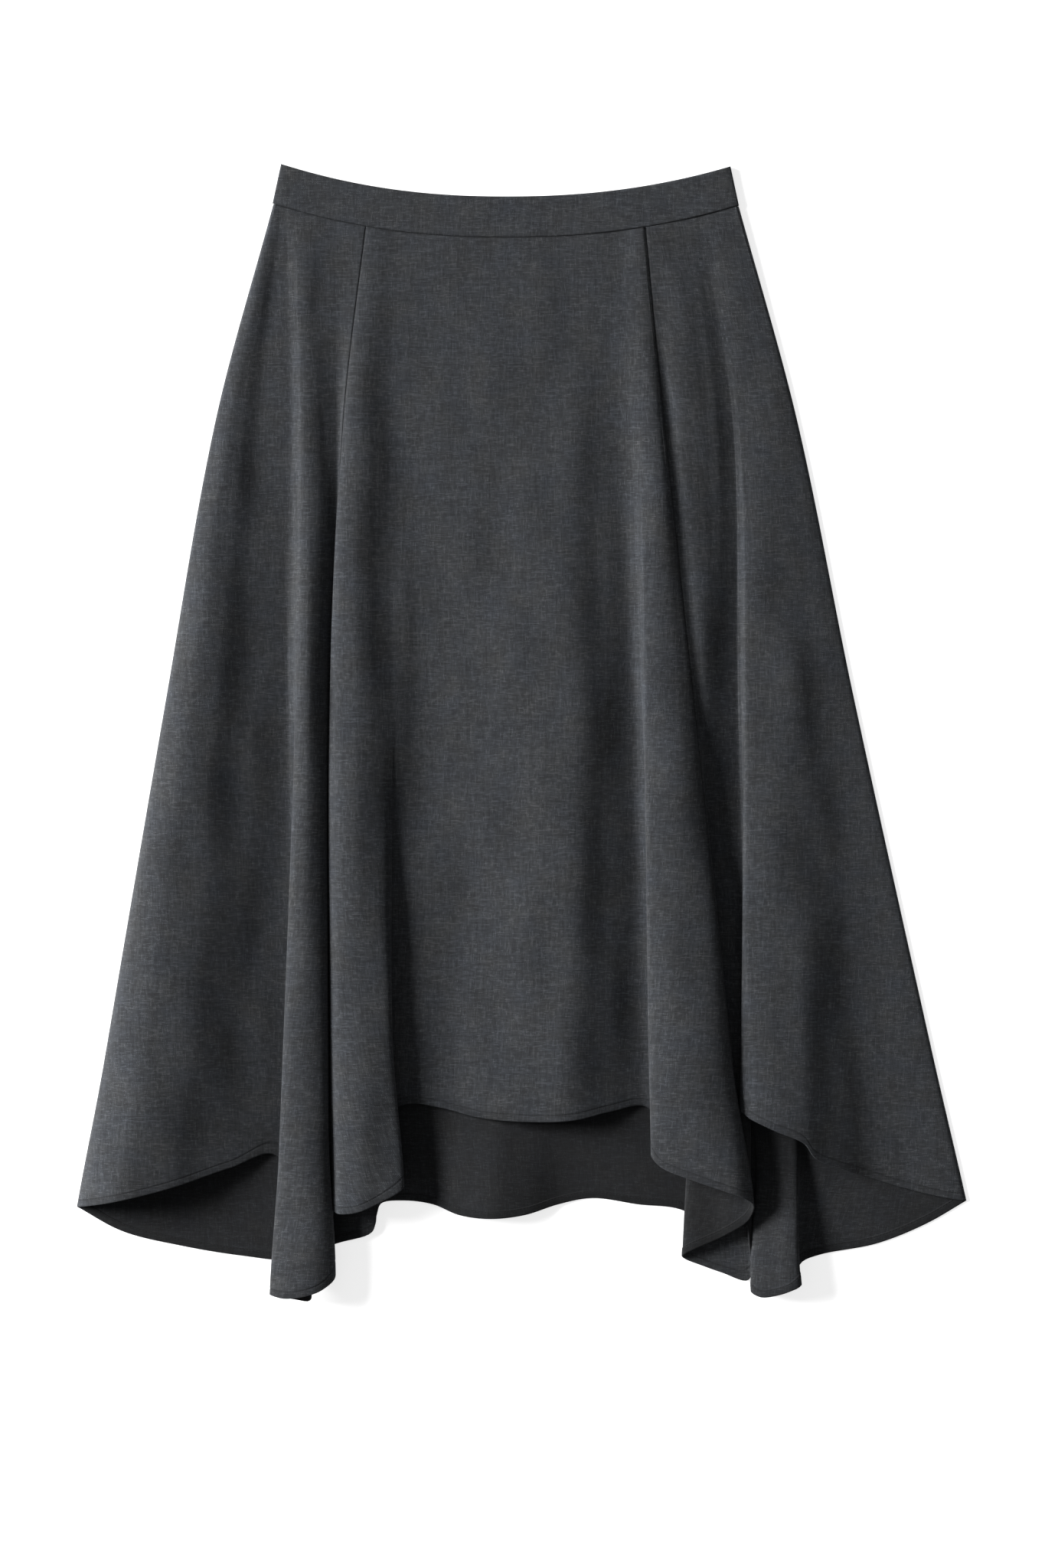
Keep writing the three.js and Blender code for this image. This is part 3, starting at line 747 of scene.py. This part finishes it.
def stitch_row(name, rows_of_points, rows_of_out, cut, material):
    """Stitches along rows of points, each a short thread sunk at both ends, joined as one mesh"""
    pitch = cut.stitch / MM
    radius = cut.thread / 2 / MM
    angles = np.arange(STITCH_SIDES) * 2 * np.pi / STITCH_SIDES
    vertices, faces = [], []
    for points, out in zip(rows_of_points, rows_of_out):
        way = lengths_along(points[None], 1)[0]
        for k in range(int(way[-1] / pitch)):
            base = len(vertices)
            for along, rise in STITCH_RINGS:
                at = (k + 0.5) * pitch + along * pitch
                centre, ahead, behind = (
                    along_row(place, way, points) for place in (at, at + STITCH_NEARBY, at - STITCH_NEARBY))
                normal = along_row(at, way, out)
                normal /= np.linalg.norm(normal)
                tangent = (ahead - behind) / max(np.linalg.norm(ahead - behind), 1e-9)
                beside = np.cross(normal, tangent)
                ring = centre + normal * rise * radius
                for angle in angles:
                    vertices.append(ring + radius * (np.cos(angle) * beside + np.sin(angle) * normal))
            for r in range(len(STITCH_RINGS) - 1):
                for s in range(STITCH_SIDES):
                    a = base + r * STITCH_SIDES + s
                    b = base + r * STITCH_SIDES + (s + 1) % STITCH_SIDES
                    faces.append((a, b, b + STITCH_SIDES, a + STITCH_SIDES))
            last = base + (len(STITCH_RINGS) - 1) * STITCH_SIDES
            faces.append(tuple(base + s for s in reversed(range(STITCH_SIDES))))
            faces.append(tuple(last + s for s in range(STITCH_SIDES)))
    mesh = bpy.data.meshes.new(name)
    mesh.from_pydata(to_frame(np.array(vertices)).tolist(), [], faces)
    mesh.polygons.foreach_set("use_smooth", np.ones(len(faces), bool))
    mesh.materials.append(material)
    return add_object(name, mesh)


def hem_stitches(name, grid, skins, out, cut, material):
    """Rows of stitches of one panel's hem, on its upper and its lower face"""
    line = cut.stitch_line / MM
    faces, normals = [], []
    columns = np.arange(grid["to_hem"].shape[1])
    row = np.argmin(np.abs(grid["to_hem"] - line), axis=0)
    for skin, sign in zip(skins, (1, -1)):
        faces.append(skin[row, columns])
        normals.append(sign * out[row, columns])
    return stitch_row(name, faces, normals, cut, material)


def add_node(tree, kind, **settings):
    """New node of a tree with its settings"""
    node = tree.nodes.new(kind)
    for name, value in settings.items():
        setattr(node, name, value)
    return node


def feed(tree, socket, value):
    """Link a socket into another, or set it to a constant"""
    if isinstance(value, bpy.types.NodeSocket):
        tree.links.new(value, socket)
    else:
        socket.default_value = value


def calculate(tree, operation, *values, clamp=False):
    """Math node on sockets or numbers"""
    node = add_node(tree, "ShaderNodeMath", operation=operation, use_clamp=clamp)
    for socket, value in zip(node.inputs, values):
        feed(tree, socket, value)
    return node.outputs[0]


def mix_colour(tree, share, first, second, blend="MIX"):
    """Mix node on two colours"""
    node = add_node(tree, "ShaderNodeMix", data_type="RGBA", blend_type=blend)
    feed(tree, node.inputs["Factor"], share)
    feed(tree, node.inputs[6], first)
    feed(tree, node.inputs[7], second)
    return node.outputs[2]


def mix_values(tree, share, first, second):
    """Mix node on two values"""
    node = add_node(tree, "ShaderNodeMix", data_type="FLOAT")
    for socket, value in zip(node.inputs[0:1] + node.inputs[2:4], (share, first, second)):
        feed(tree, socket, value)
    return node.outputs[0]


def ramp_between(tree, value, low, high):
    """Smooth step of a value from 0 at one limit to 1 at another"""
    node = add_node(tree, "ShaderNodeMapRange", interpolation_type="SMOOTHSTEP")
    for socket, setting in zip(node.inputs, (value, low, high)):
        feed(tree, socket, setting)
    return node.outputs[0]


def noise_at(tree, across, down, detail=0.0, rough=0.5):
    """Noise over two coordinates"""
    place = add_node(tree, "ShaderNodeCombineXYZ")
    feed(tree, place.inputs[0], across)
    feed(tree, place.inputs[1], down)
    noise = add_node(tree, "ShaderNodeTexNoise", noise_dimensions="2D")
    tree.links.new(place.outputs[0], noise.inputs["Vector"])
    noise.inputs["Scale"].default_value = 1.0
    noise.inputs["Detail"].default_value = detail
    noise.inputs["Roughness"].default_value = rough
    return noise.outputs["Fac"]


def new_group(name, inputs, outputs):
    """Empty shader node group with named sockets, each given as its name, kind and default"""
    tree = bpy.data.node_groups.new(name, "ShaderNodeTree")
    for title, kind, default in inputs:
        socket = tree.interface.new_socket(name=title, in_out="INPUT", socket_type=kind)
        if default is not None:
            socket.default_value = default
    for title, kind in outputs:
        tree.interface.new_socket(name=title, in_out="OUTPUT", socket_type=kind)
    return tree, tree.nodes.new("NodeGroupInput").outputs, tree.nodes.new("NodeGroupOutput").inputs


def spread_out(tree, value, contrast, centre):
    """Value that lies about a half, spread out by a contrast about another centre"""
    return calculate(tree, "MULTIPLY_ADD", value, contrast, centre - 0.5 * contrast)


def melange_weave():
    """Plain weave of melange threads: each thread's shade changes along it and has light slubs"""
    name = "Melange weave"
    if name in bpy.data.node_groups:
        return bpy.data.node_groups[name]
    inputs = [
        ("Place", "NodeSocketVector", None),
        ("Pitch", "NodeSocketFloat", 0.00066),
        ("Slub length", "NodeSocketFloat", 0.0065),
        ("Slubs", "NodeSocketFloat", 0.6),
        ("Streaks", "NodeSocketFloat", 0.8),
        ("Dark", "NodeSocketColor", (0, 0, 0, 1)),
        ("Middle", "NodeSocketColor", (0, 0, 0, 1)),
        ("Light", "NodeSocketColor", (0, 0, 0, 1)),
    ]
    outputs = [("Colour", "NodeSocketColor"), ("Height", "NodeSocketFloat")]
    tree, given, result = new_group(name, inputs, outputs)
    place = add_node(tree, "ShaderNodeSeparateXYZ")
    tree.links.new(given["Place"], place.inputs[0])

    # Threads and streaks of the two sets, each with its shade along its length and its arched profile
    threads, shades, arches, streaks = [], [], [], []
    streak_length = calculate(tree, "MULTIPLY", given["Slub length"], WEAVE["slubs_to_streak"])
    for k in range(2):
        counted = calculate(tree, "DIVIDE", place.outputs[k], given["Pitch"])
        threads.append(calculate(tree, "FLOOR", counted))
        number = calculate(tree, "MULTIPLY_ADD", threads[k], *WEAVE["thread_seeds"][k])
        along = calculate(tree, "DIVIDE", place.outputs[1 - k], given["Slub length"])
        noise = noise_at(tree, number, along, detail=1.5)
        shades.append(spread_out(tree, noise, WEAVE["contrasts"][k], 0.5))
        across = calculate(tree, "SUBTRACT", counted, threads[k])
        arches.append(calculate(tree, "SINE", calculate(tree, "MULTIPLY", across, np.pi)))
        streak = calculate(tree, "FLOOR", calculate(tree, "MULTIPLY", counted, WEAVE["streaks_to_thread"]))
        number = calculate(tree, "MULTIPLY_ADD", streak, *WEAVE["streak_seeds"][k])
        along = calculate(tree, "DIVIDE", place.outputs[1 - k], streak_length)
        streaks.append(calculate(tree, "SUBTRACT", noise_at(tree, number, along, detail=1.0), 0.5))

    # Over and under: at each crossing one of the two threads lies on top
    both = calculate(tree, "ADD", *threads)
    over = calculate(tree, "MODULO", calculate(tree, "ABSOLUTE", both), 2.0)
    shade, profile = (mix_values(tree, over, *pair) for pair in (shades, arches))

    # Fine fibres that break up the threads
    fibre_size = calculate(tree, "MULTIPLY", given["Pitch"], WEAVE["fibre_size"])
    fine = calculate(tree, "DIVIDE", 1.0, fibre_size)
    fibre_place = [calculate(tree, "MULTIPLY", place.outputs[k], fine) for k in range(2)]
    fibre = noise_at(tree, *fibre_place, detail=2.0, rough=0.65)

    # Shade of the cloth, and the light slubs on it
    spread = spread_out(tree, shade, WEAVE["thread_spread"], 0.5)
    speckled = calculate(tree, "ADD", spread, spread_out(tree, fibre, WEAVE["fibre_spread"], 0.0))
    speckled = calculate(
        tree, "MULTIPLY_ADD", calculate(tree, "ADD", *streaks), given["Streaks"], speckled)
    share = calculate(tree, "MULTIPLY", speckled, 1.0, clamp=True)
    colour = mix_colour(tree, share, given["Dark"], given["Middle"])
    broken = ramp_between(tree, fibre, *WEAVE["slub_fibres"])
    slub = ramp_between(tree, shade, *WEAVE["slub_shades"])
    slub = calculate(tree, "MULTIPLY", slub, calculate(tree, "MULTIPLY", given["Slubs"], broken))
    tree.links.new(mix_colour(tree, slub, colour, given["Light"]), result["Colour"])

    raised = calculate(tree, "MULTIPLY", fibre, WEAVE["fibre_height"])
    tree.links.new(calculate(tree, "ADD", profile, raised), result["Height"])
    return tree


def uneven_shade():
    """Slow, cloudy unevenness of the dye, and a finer drift between a warm and a cool grey"""
    name = "Uneven shade"
    if name in bpy.data.node_groups:
        return bpy.data.node_groups[name]
    inputs = [
        ("Strength", "NodeSocketFloat", 0.1),
        ("Size", "NodeSocketFloat", 0.04),
        ("Drift", "NodeSocketFloat", 0.1),
    ]
    tree, given, result = new_group(name, inputs, [("Shade", "NodeSocketColor")])
    place = add_node(tree, "ShaderNodeTexCoord")
    uneven = []
    for finer, detail in ((1.0, 2.5), (1.6, 4.0)):
        noise = add_node(tree, "ShaderNodeTexNoise", noise_dimensions="3D")
        tree.links.new(place.outputs["Object"], noise.inputs["Vector"])
        tree.links.new(calculate(tree, "DIVIDE", finer, given["Size"]), noise.inputs["Scale"])
        noise.inputs["Detail"].default_value = detail
        uneven.append(calculate(tree, "SUBTRACT", noise.outputs["Fac"], 0.5))
    factor = calculate(tree, "MULTIPLY_ADD", uneven[0], given["Strength"], 1.0)
    warmth = calculate(tree, "MULTIPLY", uneven[1], given["Drift"])
    shade = add_node(tree, "ShaderNodeCombineColor")
    for socket, warm_share in zip(shade.inputs[:3], (1.0, 0.25, -1.0)):
        share = calculate(tree, "MULTIPLY_ADD", warmth, warm_share, 1.0)
        tree.links.new(calculate(tree, "MULTIPLY", share, factor), socket)
    tree.links.new(shade.outputs[0], result["Shade"])
    return tree


def group_node(tree, group, **values):
    """Place a node group in a material with its values"""
    node = add_node(tree, "ShaderNodeGroup", node_tree=group)
    for name, value in values.items():
        feed(tree, node.inputs[name.replace("_", " ")], value)
    return node.outputs


def matt_surface(material, roughness, sheen):
    """Matt shader of a material, with constant values on its own sockets"""
    material.use_nodes = True
    shader = material.node_tree.nodes["Principled BSDF"]
    shader.inputs["Roughness"].default_value = roughness
    shader.inputs["Specular IOR Level"].default_value = 0.25
    shader.inputs["Sheen Weight"].default_value = sheen
    shader.inputs["Sheen Roughness"].default_value = 0.45
    shader.inputs["Sheen Tint"].default_value = (0.72, 0.76, 0.84, 1.0)
    return shader


def suiting(colours):
    """Charcoal melange suiting, multiplied by each piece's painted shade: darker along the hem, with painted
    shade in the seams, the stitched groove and the skirt's inside, and painted light on the back's hem folds
    """
    name = "charcoal_melange"
    if name in bpy.data.materials:
        return bpy.data.materials[name]
    material = bpy.data.materials.new(name)
    shader = matt_surface(material, roughness=0.92, sheen=0.06)
    tree = material.node_tree
    weave_place = add_node(tree, "ShaderNodeUVMap", uv_map="weave")
    woven = group_node(
        tree, melange_weave(), Place=weave_place.outputs[0], Pitch=colours.pitch,
        Dark=(*colours.dark, 1), Middle=(*colours.middle, 1), Light=(*colours.light, 1))
    clouds = group_node(tree, uneven_shade(), Strength=0.28, Size=0.035, Drift=0.22)
    # The painted shade and painted light of each piece multiply the cloth's colour
    painted_shading = add_node(tree, "ShaderNodeAttribute", attribute_name="painted_shading")
    clouded = mix_colour(tree, 1.0, woven["Colour"], clouds["Shade"], "MULTIPLY")
    finished = mix_colour(tree, 1.0, clouded, painted_shading.outputs["Color"], "MULTIPLY")
    tree.links.new(finished, shader.inputs["Base Color"])
    bump = add_node(tree, "ShaderNodeBump")
    bump.inputs["Strength"].default_value = 0.35
    bump.inputs["Distance"].default_value = 0.00012
    tree.links.new(woven["Height"], bump.inputs["Height"])
    tree.links.new(bump.outputs[0], shader.inputs["Normal"])
    return material


def sewing_thread(colours):
    """Dark sewing thread with a fine twist"""
    name = "sewing_thread"
    if name in bpy.data.materials:
        return bpy.data.materials[name]
    material = bpy.data.materials.new(name)
    shader = matt_surface(material, roughness=0.7, sheen=0.0)
    tree = material.node_tree
    place = add_node(tree, "ShaderNodeTexCoord")
    twist = add_node(tree, "ShaderNodeTexNoise")
    tree.links.new(place.outputs["Object"], twist.inputs["Vector"])
    twist.inputs["Scale"].default_value = 4200
    dull = tuple(c * 0.6 for c in colours.sewing)
    share = ramp_between(tree, twist.outputs["Fac"], 0.35, 0.65)
    tree.links.new(mix_colour(tree, share, (*dull, 1), (*colours.sewing, 1)), shader.inputs["Base Color"])
    return material


def floor_paper(colour, glow):
    """Plain pale paper with a faint grain on a table that is lit from below"""
    material = bpy.data.materials.new("pale_paper")
    shader = matt_surface(material, roughness=0.95, sheen=0.0)
    shader.inputs["Emission Color"].default_value = (1.0, 1.0, 1.0, 1.0)
    shader.inputs["Emission Strength"].default_value = glow
    tree = material.node_tree
    clouds = group_node(tree, uneven_shade(), Strength=0.012, Size=0.25, Drift=0.0)
    paper = mix_colour(tree, 1.0, (*colour, 1), clouds["Shade"], "MULTIPLY")
    tree.links.new(paper, shader.inputs["Base Color"])
    return material


def dress(piece, node, with_pieces=()):
    """Tie a piece of cloth and what is sewn on it to the frame"""
    for part in (piece, *with_pieces):
        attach(part, "root")
    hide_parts(node)


# Each side's values below its lines: the painted shade of its inside, which stands in for the shade under the
# front, with painted light on the back's hem folds, the function and the least value of the cloth's height,
# the share of the creases' height, which way the outer face looks, how far a side edge sinks on level cloth
# and how much further on steep cloth, in mm, and the most that a slanted hem counts
def front_side():
    """The front: its lines from the left side seam to the right one"""
    rows = [*LEFT_LINES, LEFT_SEAM, *CENTRE_LINES, RIGHT_SEAM, *RIGHT_LINES]
    return {
        "lines": as_columns(rows, FRONT_COLUMNS),
        "painted_inside_shading": np.full(len(rows), INSIDE_PAINTED_SHADE),
        "height": front_height,
        "lowest": FRONT_SIDE,
        "creased": 1.0,
        "up": 1,
        "side_drop": 0.55,
        "steep_drop": 1.6,
        "most_slant": 2.6,
    }


def back_side():
    """The back: its lines from the left side seam to the right one"""
    lines = as_columns(BACK_LINES, BACK_COLUMNS)
    return {
        "lines": lines,
        "painted_inside_shading": lines["shade"],
        "height": back_height,
        "lowest": BACK_REST - BACK_SINK,
        "creased": 0.5,
        "up": -1,
        "side_drop": -0.1,
        "steep_drop": 0,
        "most_slant": 2.6,
    }


def sew_panel(side, node, start, end, seams, step):
    """Make one panel of cloth with its hem's stitches, and tie it to the frame"""
    cut = bpy.context.scene.skirt_cut
    colours = bpy.context.scene.skirt_colours
    grid = cloth_grid(side, start, end, seams, step / MM)
    skins, out = panel_skins(side, grid, cut, seams)
    painted_shading = painted_skin_shades(side, grid, cut, seams)
    cloth = closed_shell(node + "_cloth", skins, grid["weave"], {"painted_shading": painted_shading}, suiting(colours))
    stitches = hem_stitches(node + "_hem_stitches", grid, skins, out, cut, sewing_thread(colours))
    dress(cloth, node, [stitches])


def strip_steps(size, count):
    """Places of a strip's points along one way: close together at both edges and even between"""
    even = np.linspace(STRIP_EVEN_START, size - STRIP_EVEN_START, count)
    return np.concatenate([STRIP_STEPS, even, size - np.array(STRIP_STEPS[::-1])])


def band_strip(node, strip, colours):
    """One half of the waistband: a doubled strip with rounded edges, its ends turned to the other half"""
    height = BAND["height"]
    width = 2 * BAND["half_seam"]
    ways = strip_steps(height, STRIP_ROWS)
    along = strip_steps(width, STRIP_COLUMNS)
    down = (ways / height)[:, None]
    share = (2 * along / width - 1)[None, :]
    half_width = BAND["half_top"] * (1 - down) + BAND["half_seam"] * down
    across = BAND["centre"] + share * half_width
    drop = top_drop(BAND["centre"] + share * BAND["half_top"]) * (1 - down)
    drop = drop + seam_drop(BAND["centre"] + share * BAND["half_seam"]) * down
    from_edge = np.minimum(ways, height - ways)[:, None]
    from_end = np.minimum(along, width - along)[None, :]
    lift = strip["end_lift"] * bell(from_end, STRIP_END_REACH) + 0 * down
    waves = np.sin(across / SHORT_WAVE_LENGTHS[0] + SHORT_WAVE_START) * np.sin(drop / SHORT_WAVE_LENGTHS[1])
    uneven = SHORT_WAVE * waves + LONG_WAVE * np.sin(across / LONG_WAVE_LENGTH)
    lift = lift + uneven * np.clip(from_edge / CALM_EDGE, 0, 1)
    points = np.stack([across, -drop, strip["middle"] + lift], axis=-1)
    thick = strip["half"] * rounded(from_edge, STRIP_EDGE_RADIUS) * rounded(from_end, STRIP_EDGE_RADIUS)
    out = np.array([0.0, 0.0, 1.0])
    skins = [points + out * thick[..., None], points - out * thick[..., None]]
    for skin in skins:
        skin[..., 2] = np.maximum(skin[..., 2], FLOOR_GAP)
    weave = np.stack([across, -drop], axis=-1) * MM
    to_seam = (height - ways)[:, None] + 0 * across
    # Painted shade along the band's seam to the skirt, where shade falls
    painted_shading = 1 - STRIP_SEAM_PAINTED_SHADE * bell(to_seam, STRIP_SEAM_REACH)
    piece = closed_shell(node + "_cloth", skins, weave, {"painted_shading": (painted_shading, painted_shading)}, suiting(colours))
    dress(piece, node, ())


def lay_floor(studio):
    """Wide, plain, pale floor"""
    mesh = bpy.data.meshes.new("floor")
    corners = [(x * FLOOR_REACH, y * FLOOR_REACH, 0) for x, y in ((-1, -1), (1, -1), (1, 1), (-1, 1))]
    mesh.from_pydata(corners, [], [(0, 1, 2, 3)])
    mesh.materials.append(floor_paper(studio.floor, studio.floor_glow))
    add_object("floor", mesh)


def hang_light(studio):
    """Large soft light, low on the left"""
    light = bpy.data.lights.new("key", "AREA")
    light.shape = "RECTANGLE"
    light.size = studio.key_width
    light.size_y = studio.key_depth
    light.energy = studio.key
    level, turn = np.cos(studio.key_height), studio.key_turn
    way = Vector((-level * np.cos(turn), level * np.sin(turn), np.sin(studio.key_height)))
    key = add_object("key", light)
    key.location = Vector((*IMAGE_CENTRE, 0)) + way * studio.key_distance
    key.rotation_euler = (-way).to_track_quat("-Z", "Y").to_euler()


def light_sky(studio):
    """Even light from all round"""
    world = bpy.data.worlds.new("studio_sky")
    world.use_nodes = True
    background = world.node_tree.nodes["Background"]
    background.inputs["Color"].default_value = (1, 1, 1, 1)
    background.inputs["Strength"].default_value = studio.sky
    return world


def set_camera(studio):
    """Camera that looks straight down on the skirt"""
    camera = bpy.data.cameras.new("camera")
    camera.lens = studio.lens
    camera.sensor_width = SENSOR_WIDTH
    camera.clip_end = CAMERA_REACH
    eye = add_object("camera", camera)
    eye.location = (*IMAGE_CENTRE, studio.view_height * studio.lens / camera.sensor_width)
    return eye


class SKIRT_OT_back(bpy.types.Operator):
    """Make the skirt's back panel, which lies lowest"""

    bl_idname = "skirt.back"
    bl_label = "Back panel"

    def execute(self, context):
        side = back_side()
        last = len(BACK_LINES) - 1
        sew_panel(side, "back_panel", 0, last, (False, False), context.scene.skirt_cut.back_step)
        return {"FINISHED"}


class SKIRT_OT_front(bpy.types.Operator):
    """Make the three panels of the skirt's front, joined by its princess seams"""

    bl_idname = "skirt.front"
    bl_label = "Front panels"

    def execute(self, context):
        side = front_side()
        step = context.scene.skirt_cut.fine_step
        left = len(LEFT_LINES)
        right = left + len(CENTRE_LINES) + 1
        last = right + len(RIGHT_LINES)
        sew_panel(side, "front_side_left", 0, left, (False, True), step)
        sew_panel(side, "front_centre", left, right, (True, True), step)
        sew_panel(side, "front_side_right", right, last, (True, False), step)
        return {"FINISHED"}


class SKIRT_OT_waistband(bpy.types.Operator):
    """Make the two halves of the contoured waistband"""

    bl_idname = "skirt.waistband"
    bl_label = "Waistband"

    def execute(self, context):
        for node, half in STRIPS.items():
            band_strip(node, half, context.scene.skirt_colours)
        return {"FINISHED"}


class SKIRT_OT_studio(bpy.types.Operator):
    """Make the pale floor, the soft light and the camera"""

    bl_idname = "skirt.studio"
    bl_label = "Studio"

    def execute(self, context):
        scene = context.scene
        lay_floor(scene.skirt_studio)
        hang_light(scene.skirt_studio)
        scene.world = light_sky(scene.skirt_studio)
        scene.view_settings.view_transform = "Standard"
        scene.camera = set_camera(scene.skirt_studio)
        return {"FINISHED"}


class SKIRT_PT_panel(bpy.types.Panel):
    """Sizes, colours and steps of the skirt"""

    bl_idname = "SKIRT_PT_panel"
    bl_label = "Asymmetric skirt"
    bl_space_type = "VIEW_3D"
    bl_region_type = "UI"
    bl_category = "Skirt"

    def draw(self, context):
        scene = context.scene
        for group in (scene.skirt_cut, scene.skirt_colours, scene.skirt_studio):
            box = self.layout.box()
            for name in group.__annotations__:
                box.prop(group, name)
        for operator in OPERATORS:
            self.layout.operator(operator.bl_idname)


GROUPS = {"skirt_cut": SkirtCut, "skirt_colours": SkirtColours, "skirt_studio": SkirtStudio}
OPERATORS = [SKIRT_OT_studio, SKIRT_OT_back, SKIRT_OT_front, SKIRT_OT_waistband]


def register():
    """Add the skirt's properties, operators and panel"""
    for name, group in GROUPS.items():
        bpy.utils.register_class(group)
        setattr(bpy.types.Scene, name, bpy.props.PointerProperty(type=group))
    for operator in OPERATORS:
        bpy.utils.register_class(operator)
    bpy.utils.register_class(SKIRT_PT_panel)


def unregister():
    """Take them out again"""
    bpy.utils.unregister_class(SKIRT_PT_panel)
    for operator in reversed(OPERATORS):
        bpy.utils.unregister_class(operator)
    for name, group in GROUPS.items():
        delattr(bpy.types.Scene, name)
        bpy.utils.unregister_class(group)


def main():
    """Make the whole skirt and its studio"""
    register()
    bpy.ops.skirt.studio()
    bpy.ops.skirt.back()
    bpy.ops.skirt.front()
    bpy.ops.skirt.waistband()


if __name__ == "__main__":
    main()
